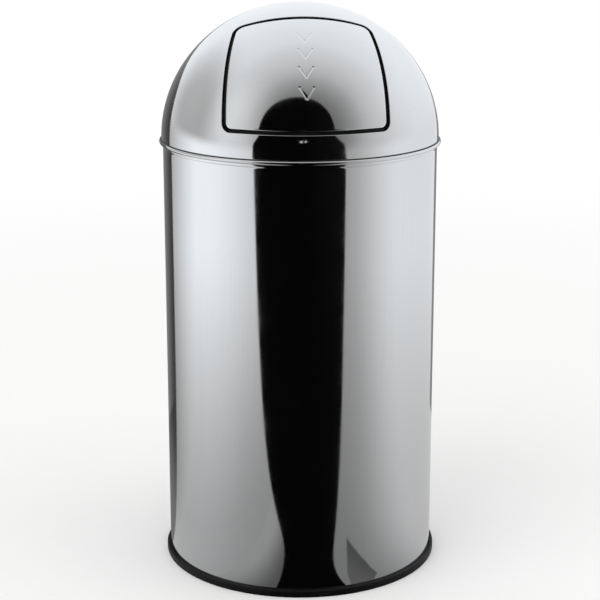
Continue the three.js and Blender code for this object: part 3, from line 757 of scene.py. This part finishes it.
# An E-shaped clip: an open ring with three lugs that bear in the pin's groove.
def clipMesh():
    mouth, steps = math.radians(clip["mouth"]), clip["steps"]
    angles = [mouth + (2 * math.pi - 2 * mouth) * i / steps for i in range(steps + 1)]
    lugHeight = clip["inner"] - hinge["pinRadius"] - clip["play"]
    lugs = [max(0.0, math.cos(3 * (angle - math.pi))) ** 2 for angle in angles]
    seat = hinge["bracketOuter"] + hinge["gap"]
    far, bevel = seat + clip["sheet"], clip["bevel"]
    rings = []
    for x, drawn in ((seat, bevel), (seat + bevel, 0), (far - bevel, 0), (far, bevel)):
        polar = [(clip["radius"] - drawn, angle) for angle in angles]
        polar += [(clip["inner"] - lugHeight * lug + drawn, angle) for lug, angle in zip(lugs, angles)][::-1]
        rings.append([pinCentre + Vector((x, r * math.cos(a), r * math.sin(a))) for r, a in polar])
    count = len(rings[0])
    flats = [[start + k for k in (i, i + 1, count - 2 - i, count - 1 - i)]
             for start in (0, 3 * count) for i in range(steps)]
    return meshFromRings(rings, sharp=35, extraFaces=flats)


addPiece("pinClip", clipMesh(), spring, "lid", "pin_clip")

coil = {
    "wire": 1.2, "bore": 6.2, "curls": 6, "stepsPerCurl": 20, "pitch": 1.9, "place": 21.0, "lidLeg": 22.0,
    "flapLap": 6.0,
}


# The points that part a straight leg into eight.
def between(a, b):
    return [a.lerp(b, i / 8) for i in range(1, 8)]


# A torsion spring's line: a leg under the dome, its curls round the pin, and a leg under the flap.
def springLine(sign):
    radius, thick = (coil["bore"] + coil["wire"]) / 2, coil["wire"] / 2
    outerX = coil["place"] + coil["curls"] * coil["pitch"]
    off = hinge["gap"] + facetSag + thick
    lidEnd = underDome(pastTopEdge(hinge["beyondEdge"] + coil["lidLeg"]), dome["sheet"] + off, outerX)
    flapEnd = underDome(pastTopEdge(-coil["flapLap"]), tray["rimBack"] + off, coil["place"])

    def tangentAngle(point, turnSide):
        away = Vector((-(point.y - pinCentre.y), point.z - pinCentre.z))
        return math.atan2(away.y, away.x) + turnSide * math.acos(radius / away.length)

    start, end = tangentAngle(lidEnd, -1), tangentAngle(flapEnd, 1)
    turnAngle = -2 * math.pi * coil["curls"] + math.fmod(end - start, 2 * math.pi)
    steps = round(coil["stepsPerCurl"] * abs(turnAngle) / (2 * math.pi))
    curls = []
    for i in range(steps + 1):
        angle = start + turnAngle * i / steps
        x = outerX + (coil["place"] - outerX) * i / steps
        y, z = pinCentre.y - radius * math.cos(angle), pinCentre.z + radius * math.sin(angle)
        curls.append(Vector((x, y, z)))
    line = [lidEnd] + between(lidEnd, curls[0]) + curls + between(curls[-1], flapEnd) + [flapEnd]
    return [Vector((sign * p.x, p.y, p.z)) for p in line], outerX


for label, sign in bothSides:
    line, outerX = springLine(sign)
    mesh = wire(line, coil["wire"] / 2, (1, 0, 0), 12)
    piece = addPiece("returnSpring" + label.capitalize(), mesh, spring, None, "return_spring_" + label)
    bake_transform(piece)

collar = {"radius": 168.8, "sheet": 0.8, "drop": 24.0, "rise": 14.0, "step": 5.0, "top": 169.8, "bend": 170.2}
collarLine = [
    (collar["radius"], dome["base"] - collar["drop"], 0.3),
    (collar["radius"], dome["base"], 2),
    (collar["bend"], dome["base"] + collar["step"], 2),
    (collar["top"], dome["base"] + collar["rise"], 0),
]
collarProfile = rounded(collarLine + [(r - collar["sheet"], z, bend) for r, z, bend in reversed(collarLine)])
addPiece("lidCollar", turned(collarProfile, 240), galvanised, "lid", "lid_collar")
print("hinge and collar built")


bucket = {
    "base": 11.1, "topRadius": 152.0, "bottomRadius": 147.0, "height": 493.0, "sheet": 0.6, "bead": 3.0,
    "raise": 7.0, "seamWidth": 3.5, "seamHeight": 0.5, "gap": 0.3, "wallSteps": 30,
    "dish": 1.5, "dishInner": 70, "dishOuter": 110,  # the base's middle is pressed down a little
}


def bucketWall(height):
    share = height / bucket["height"]
    return bucket["bottomRadius"] + (bucket["topRadius"] - bucket["bottomRadius"]) * share


beadHeight = bucket["height"] - bucket["bead"]
beadCentre = (bucket["topRadius"] - bucket["sheet"] + bucket["bead"], beadHeight)
beadInner = bucket["bead"] - bucket["sheet"]
wall = [beadHeight * i / bucket["wallSteps"] for i in range(bucket["wallSteps"] + 1)]
bucketProfile = [(bucketWall(z) - bucket["sheet"], z) for z in wall[:-1]]
bucketProfile += arcPoints(beadCentre, bucket["bead"], 180, -120, 22)
bucketProfile += arcPoints(beadCentre, beadInner, -120, 172, 22)
bucketProfile += [(bucketWall(z), z) for z in wall[-2::-1]]
bucketProfile = [(r, z + bucket["base"]) for r, z in bucketProfile]
bucketSeam = (bucket["seamWidth"], bucket["seamHeight"])
addPiece("bucketWall", turned(bucketProfile, 240, seam=bucketSeam), galvanised, "liner", "liner_bucket")

baseEdge = bucket["bottomRadius"] - bucket["sheet"] - bucket["gap"]
baseUnder = bucket["base"] + bucket["raise"]
baseTop = baseUnder + bucket["sheet"]
baseProfile = rounded([
    (0, baseUnder - bucket["dish"]),
    (bucket["dishInner"], baseUnder - bucket["dish"], 30),
    (bucket["dishOuter"], baseUnder, 20),
    (baseEdge - bucket["sheet"], baseUnder, 1),
    (baseEdge - bucket["sheet"], bucket["base"]),
    (baseEdge, bucket["base"]),
    (baseEdge, baseTop, 1.6),
    (bucket["dishOuter"], baseTop, 20),
    (bucket["dishInner"], baseTop - bucket["dish"], 30),
    (0, baseTop - bucket["dish"]),
], closed=False)
addPiece("bucketBase", turned(baseProfile, 180, closed=False), galvanised, "liner", "liner_base")

bail = {"axis": 506.4, "radius": 2.0, "bend": 4.5, "tail": 5.0, "ear": 1.5, "earRivets": (16.0, 34.0)}
rivet = {"radius": 2.0, "head": 4.0, "height": 1.6, "shoulder": 0.75, "round": 2.2}
axisHeight = bail["axis"] - bucket["base"]
earOuter = bucketWall(axisHeight) - bucket["sheet"] - bucket["gap"]
turnIn, tailEnd = earOuter + bucket["gap"], earOuter - bail["ear"] - bail["tail"]
reach = turnIn + bail["bend"]
tail = [(tailEnd + (turnIn - tailEnd) * i / 5, 0) for i in range(5)]
quarter = [math.pi / 24 * i for i in range(13)]
bend = [(turnIn + bail["bend"] * math.sin(a), bail["bend"] * (1 - math.cos(a))) for a in quarter]
half = [math.pi * i / 96 for i in range(1, 96)]
bow = [(reach * math.cos(a), bail["bend"] + (reach - bail["bend"]) * math.sin(a)) for a in half]
bailLine = tail + bend + bow + [(-x, y) for x, y in reversed(tail + bend)]
bailPoints = [(x, y, bail["axis"]) for x, y in bailLine]
addPiece("bailWire", wire(bailPoints, bail["radius"], (0, 0, 1), 20), plated, "bail", "bail_wire")

for name, drop in zip(("upper", "lower"), bail["earRivets"]):
    height = axisHeight - drop
    inner = bucketWall(height) - bucket["sheet"] - bucket["gap"] - bail["ear"] - bucket["gap"]
    outer = bucketWall(height) + bucket["gap"]
    shoulder, rise = rivet["head"] * rivet["shoulder"], rivet["height"] * 0.95
    profile = rounded([
        (0, inner - rivet["height"]),
        (shoulder, inner - rise, rivet["round"]),
        (rivet["head"], inner, 0.1),
        (rivet["radius"], inner),
        (rivet["radius"], outer),
        (rivet["head"], outer, 0.1),
        (shoulder, outer + rise, rivet["round"]),
        (0, outer + rivet["height"]),
    ], closed=False)
    for label, sign in bothSides:
        turn = Matrix.Translation((0, 0, height + bucket["base"]))
        turn = turn @ Matrix.Rotation(sign * math.pi / 2, 4, "Y")
        addPiece(name + "Rivet" + label.capitalize(), turned(profile, 32, closed=False, turn=turn), plated,
                 "liner", "ear_rivet_" + name + "_" + label)

# The plates whose shape is right as it is keep it and get their finish.
keptPlates = {
    plated: ("hinge_bracket_right", "hinge_bracket_left", "hinge_arm_right", "hinge_arm_left"),
    galvanised: ("bail_ear_right", "bail_ear_left"),
}
for material, nodes in keptPlates.items():
    for node in nodes:
        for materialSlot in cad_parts[node].material_slots:
            materialSlot.material = material
print("bucket and bail built")


eased = {"interpolation_type": "SMOOTHSTEP"}
studio = {
    "floorRadius": 14.0, "floorColour": "f8f8f7", "fadeFrom": 0.6, "fadeTo": 2.6, "worldLevel": 0.86,
    "keyPower": 30.0, "lampSize": 2.6, "aim": (0, 0, 0.3),
    # each light's place and its share of the power
    "lights": {"keyLight": ((-1.7, -1.6, 2.9), 1.0), "fillLight": ((2.2, -0.6, 2.4), 0.45)},
}


def addStage(name, points, material, faces=None):
    mesh = bpy.data.meshes.new(name)
    mesh.from_pydata(points, [], faces or [tuple(range(len(points)))])
    mesh.materials.append(material)
    item = bpy.data.objects.new(name, mesh)
    scene.collection.objects.link(item)
    return item


# 1 for the rays that show a background: seen straight, mirrored or through glass.
def backgroundRays(tree):
    path = addNode(tree, "LightPath")
    seen = addNode(tree, "Math", {"operation": "ADD"},
                   {0: path.outputs["Is Camera Ray"], 1: path.outputs["Is Glossy Ray"]})
    return addNode(tree, "Math", {"operation": "ADD", "use_clamp": True},
                   {0: seen, 1: path.outputs["Is Transmission Ray"]})


# Seamless paper, matt and nearly white. Far from the bin it is seen as plain white, and near the bin it keeps
# the shadow.
paper, tree, shader = newMaterial("seamlessPaper")
place = addNode(tree, "TexCoord").outputs["Object"]
fibre = addNode(tree, "TexNoise", {"Scale": 40.0, "Detail": 3.0}, {"Vector": place})
white = hexToLinear(studio["floorColour"])
greyer = [0.985 * c for c in white[:3]] + [1.0]
tone = addNode(tree, "Mix", {"data_type": "RGBA", 6: greyer, 7: white}, {0: fibre})
linkInputs(tree, shader, {"Base Color": tone.outputs[2]})
shader.inputs["Roughness"].default_value = 0.9
shader.inputs["Specular IOR Level"].default_value = 0.1
fromBin = addNode(tree, "VectorMath", {"operation": "LENGTH"}, {0: place})
fade = addNode(tree, "MapRange", {**eased, "From Min": studio["fadeFrom"],
                                  "From Max": studio["fadeTo"]}, {"Value": fromBin.outputs["Value"]})
seen = addNode(tree, "Math", {"operation": "MULTIPLY"}, {0: fade, 1: backgroundRays(tree)})
plainWhite = addNode(tree, "Emission", {"Strength": 1.0})
mixed = addNode(tree, "MixShader", {}, {0: seen, 1: shader, 2: plainWhite})
linkInputs(tree, tree.nodes["Material Output"], {"Surface": mixed})
paper.cycles.emission_sampling = "NONE"
floor = addStage("floor", circlePoints(studio["floorRadius"], 0), paper)
floor.visible_glossy = False


def direction(azimuth, elevation):
    a, e = math.radians(azimuth), math.radians(elevation)
    return Vector((math.sin(a) * math.cos(e), -math.cos(a) * math.cos(e), math.sin(e)))


def rampOf(tree, stops, low, high, value):
    share = addNode(tree, "MapRange", {"From Min": low, "From Max": high}, {"Value": value})
    ramp = addNode(tree, "ValToRGB", {}, {0: share})
    ramp.color_ramp.interpolation = "CARDINAL"
    while len(ramp.color_ramp.elements) < len(stops):
        ramp.color_ramp.elements.new(0.5)
    for stop, (place, level) in zip(ramp.color_ramp.elements, stops):
        stop.position = (place - low) / (high - low)
        stop.color = (level, level, level, 1)
    return addNode(tree, "RGBToBW", {}, {0: ramp.outputs[0]})


# A card that only the metal's reflections see, so that it lights nothing and throws no shadow.
def addCard(name, points, material, faces=None):
    card = addStage(name, points, material, faces)
    card.visible_camera = card.visible_diffuse = card.visible_shadow = False
    card.visible_transmission = card.visible_volume_scatter = False


def glowMaterial(name):
    material = bpy.data.materials.new(name)
    material.use_nodes = True
    material.node_tree.nodes.clear()
    material.cycles.emission_sampling = "NONE"
    return material, material.node_tree


# A light tent round the bin: bright cloth at both sides and behind, greyer above the front gap that the
# camera works through, with one dim wall and one softbox. Angles are in degrees, azimuth from -Y towards +X,
# lengths in metres. A patch is its azimuth, its elevation, the angles where it is full and gone, and its
# level.
tent = {
    "radius": 5.0, "base": -0.001, "tiers": 24, "middle": 0.25,
    "farLevel": 1.27, "nearLevels": (0.44, 0.73), "nearDistance": -0.1, "farDistance": 2.1,
    "aroundFloor": ((-180, 0.6), (-135, 0.45), (-102, 0.93), (-80, 1.0), (-46, 0.74), (0, 0.42), (38, 0.39),
                    (70, 0.74), (100, 0.81), (180, 0.7)),
    "gap": (2, 20), "topLevel": 1.3, "horizonLevel": 0.85,
    "awayFromGap": ((25, 0.18), (45, 0.45), (70, 0.73), (95, 0.88), (125, 0.93)),
    "patches": ((-108, 16, 12, 48, 0.52), (-50, 18, 10, 44, 1.28)),
    "brightCloth": "f7fbff",
}
tentCloth, tree = glowMaterial("tentCloth")
position = addNode(tree, "NewGeometry").outputs["Position"]
x, y, z = addNode(tree, "SeparateXYZ", {}, {0: position}).outputs
forward = addNode(tree, "Math", {"operation": "MULTIPLY", 1: -1.0}, {0: y})
azimuth = addNode(tree, "Math", {"operation": "ARCTAN2"}, {0: x, 1: forward})
degrees = addNode(tree, "Math", {"operation": "DEGREES"}, {0: azimuth})
around = rampOf(tree, tent["aroundFloor"], -180, 180, degrees)
flat = addNode(tree, "CombineXYZ", {}, {0: x, 1: y})
distance = addNode(tree, "VectorMath", {"operation": "LENGTH"}, {0: flat}).outputs["Value"]
# The tent's floor is darker near the bin, most on its left: painted shadow of the bin on the floor, which the
# steel mirrors.
low, high = tent["nearLevels"]
nearby = addNode(tree, "MapRange", {"From Min": -0.3, "From Max": 0.3, "To Min": low, "To Max": high},
                 {"Value": x})
away = addNode(tree, "MapRange", {**eased, "From Min": tent["nearDistance"],
                                  "From Max": tent["farDistance"], "To Max": tent["farLevel"]},
               {"Value": distance, "To Min": nearby})
lowLight = addNode(tree, "Math", {"operation": "MULTIPLY"}, {0: around, 1: away})
fromMiddle = addNode(tree, "VectorMath", {"operation": "SUBTRACT", 1: (0, 0, tent["middle"])}, {0: position})
heading = addNode(tree, "VectorMath", {"operation": "NORMALIZE"}, {0: fromMiddle})
lift = addNode(tree, "SeparateXYZ", {}, {0: heading}).outputs[2]


def angleFrom(azimuth, elevation):
    towards = {"operation": "DOT_PRODUCT", 1: direction(azimuth, elevation)}
    dot = addNode(tree, "VectorMath", towards, {0: heading}).outputs["Value"]
    angle = addNode(tree, "Math", {"operation": "ARCCOSINE"}, {0: dot})
    return addNode(tree, "Math", {"operation": "DEGREES"}, {0: angle})


highLight = rampOf(tree, tent["awayFromGap"], 0, 180, angleFrom(*tent["gap"]))
nearHorizon = addNode(tree, "MapRange", {"From Max": 0.5, "To Min": tent["horizonLevel"] * tent["topLevel"],
                                         "To Max": tent["topLevel"]}, {"Value": lift})
highLight = addNode(tree, "Math", {"operation": "MULTIPLY"}, {0: highLight, 1: nearHorizon})
for azimuth, elevation, full, gone, level in tent["patches"]:
    patch = addNode(tree, "MapRange", {**eased, "From Min": full, "From Max": gone,
                                       "To Min": level}, {"Value": angleFrom(azimuth, elevation)})
    highLight = addNode(tree, "Math", {"operation": "MULTIPLY"}, {0: highLight, 1: patch})
raised = addNode(tree, "MapRange", {**eased, "From Min": -0.03, "From Max": 0.1},
                 {"Value": lift})
light = addNode(tree, "Mix", {"data_type": "FLOAT"}, {0: raised, 2: lowLight, 3: highLight})
strong = addNode(tree, "MapRange", {"From Min": 0.65, "From Max": 1.15}, {"Value": light})
cloth = addNode(tree, "Mix", {"data_type": "RGBA", 6: (1, 1, 1, 1), 7: hexToLinear(tent["brightCloth"])},
                {0: strong})
glow = addNode(tree, "Emission", {}, {"Strength": light, "Color": cloth.outputs[2]})
addNode(tree, "OutputMaterial", {}, {0: glow})

count = 96
tentPoints, tentFaces = [], [tuple(range(count))]
for tier in range(tent["tiers"]):
    rise = math.pi / 2 * tier / tent["tiers"]
    height = tent["radius"] * math.sin(rise) + tent["base"]
    tentPoints += circlePoints(tent["radius"] * math.cos(rise), height, count)
    if tier:
        a, b = (tier - 1) * count, tier * count
        tentFaces += [(a + k, a + (k + 1) % count, b + (k + 1) % count, b + k) for k in range(count)]
tentFaces.append(tuple(range(len(tentPoints) - count, len(tentPoints))))
addCard("tentSheet", tentPoints, tentCloth, tentFaces)


# Cloth or board that gives off a plain level, the same from both sides, which changes from the first level to
# the second between two places across, in metres.
def glowing(name, levels, low=0.0, high=1.0):
    material, tree = glowMaterial(name)
    across = addNode(tree, "SeparateXYZ", {}, {0: addNode(tree, "NewGeometry").outputs["Position"]})
    share = addNode(tree, "MapRange", {**eased, "From Min": low, "From Max": high,
                                       "To Min": levels[0], "To Max": levels[1]},
                    {"Value": across.outputs[0]})
    addNode(tree, "OutputMaterial", {}, {0: addNode(tree, "Emission", {}, {"Strength": share})})
    return material


blackCloth = glowing("blackCloth", (0.002, 0.004))
# Black cloth on the floor in front of the bin and a black arch behind the camera's place: steel shows them as
# its dark centre band. Each side's numbers are the half width at the bin, how it widens, and where it starts
# to flare and how much.
frontCloth = {
    "near": 0.12, "far": 3.0, "soft": 0.05, "steps": 40,
    "left": (0.025, 0.1, 0.33, 0.85), "right": (0.047, 0.06, 0.262, 0.66),
}


def clothEdge(distance, neck, widening, start, flare):
    past = distance - start
    return neck + widening * distance + flare * (math.hypot(past, frontCloth["soft"]) + past) / 2


growth = (frontCloth["far"] / frontCloth["near"]) ** (1 / frontCloth["steps"])
distances = [frontCloth["near"] * growth ** i for i in range(frontCloth["steps"] + 1)]
clothPoints = [(-clothEdge(d, *frontCloth["left"]), -d, 0.0) for d in distances]
clothPoints += [(clothEdge(d, *frontCloth["right"]), -d, 0.0) for d in reversed(distances)]
addCard("frontCloth", clothPoints, blackCloth)

arch = {
    "y": -3.0, "footLeft": -2.6, "footRight": 2.0, "knee": 0.7, "shoulder": 1.3, "middle": -0.41,
    "halfWidth": 1.84, "top": 3.43, "squareness": 0.9,
}
halfTurn = [math.pi * i / 40 for i in range(41)]
archPoints = [(arch["footRight"], arch["y"], 0.0), (arch["footRight"] - 0.1, arch["y"], arch["knee"])]
for angle in halfTurn:
    c, s = math.cos(angle), math.sin(angle)
    x = arch["middle"] + arch["halfWidth"] * math.copysign(abs(c) ** arch["squareness"], c)
    z = arch["shoulder"] + (arch["top"] - arch["shoulder"]) * s ** arch["squareness"]
    archPoints.append((x, arch["y"], z))
archPoints += [(arch["footLeft"] + 0.05, arch["y"], arch["knee"]), (arch["footLeft"], arch["y"], 0.0)]
addCard("frontArch", archPoints, blackCloth)

# On the floor, a grey patch by the foot, the paper's fold on the other side and its shade behind: each is its
# height, its corners and its levels across.
floorCards = {
    "floorPatch": (0.001, ((0.155, -0.3), (0.153, -0.25), (0.143, -0.2), (0.125, -0.16), (0.055, -0.15),
                         (0.088, -0.21)), ("greyPatch", (0.13, 0.09), 0.08, 0.15)),
    "paperFold": (-0.0005, ((-0.19, -0.46), (-0.17, -0.28), (-0.15, -0.19), (-0.135, -0.12), (-0.02, -0.14),
                            (-0.02, -0.46)), ("foldedPaper", (0.37, 0.1), -0.145, -0.045)),
    "floorShade": (-0.0005, ((-0.175, 0.0), (-0.42, 0.25), (-0.66, 0.5), (-0.2, 0.5), (-0.16, 0.2)),
                   ("shadedPaper", (0.06, 0.2), -0.5, -0.17)),
}
for name, (height, corners, levels) in floorCards.items():
    addCard(name, [(x, y, height) for x, y in corners], glowing(*levels))
# A pair of small lamps in front of the arch, each as its left, right, bottom and top.
lamps = {"y": -2.95, "glasses": ((-0.14, -0.06, 0.9, 1.0), (0.04, 0.12, 0.92, 1.0))}
lampPoints = []
for left, right, low, high in lamps["glasses"]:
    lampPoints += [(x, lamps["y"], z) for x, z in ((left, low), (right, low), (right, high), (left, high))]
addCard("smallLamps", lampPoints, glowing("lampGlass", (1.0, 1.1)), [(0, 1, 2, 3), (4, 5, 6, 7)])

# A dark board behind, rounded at the top and lower to the right.
board = {
    "y": 0.5, "left": -0.66, "right": 0.45, "side": 0.45, "crown": 0.27, "scale": 0.94, "slope": 0.2,
    "levels": (0.05, 0.26), "fadeEnd": -0.18,
}
boardMiddle, boardHalf = (board["left"] + board["right"]) / 2, (board["right"] - board["left"]) / 2
boardPoints = [(board["right"], board["y"], 0.0)]
for angle in halfTurn:
    across = math.cos(angle)
    x = boardMiddle + boardHalf * across
    height = board["side"] + board["crown"] * math.sqrt(1 - across ** 4)
    boardPoints.append((x, board["y"], height * (board["scale"] - board["slope"] * x)))
boardPoints.append((board["left"], board["y"], 0.0))
addCard("backBoard", boardPoints, glowing("darkBoard", board["levels"], board["left"], board["fadeEnd"]))

# The world is white wherever it is seen or mirrored, and gives an even light otherwise.
world = bpy.data.worlds.new("studio")
scene.world = world
world.use_nodes = True
tree = world.node_tree
tree.nodes.clear()
strength = addNode(tree, "MapRange", {"To Min": studio["worldLevel"]}, {"Value": backgroundRays(tree)})
sky = addNode(tree, "Background", {"Color": (1, 1, 1, 1)}, {"Strength": strength})
addNode(tree, "OutputWorld", {}, {0: sky})

for name, (place, share) in studio["lights"].items():
    lamp = bpy.data.lights.new(name, "AREA")
    lamp.energy = studio["keyPower"] * share
    lamp.size = studio["lampSize"]
    holder = bpy.data.objects.new(name, lamp)
    holder.location = place
    holder.rotation_euler = (Vector(studio["aim"]) - Vector(place)).to_track_quat("-Z", "Y").to_euler()
    holder.visible_glossy = False
    holder.visible_camera = False
    scene.collection.objects.link(holder)

scene.view_settings.view_transform = "Standard"
print("studio lit")
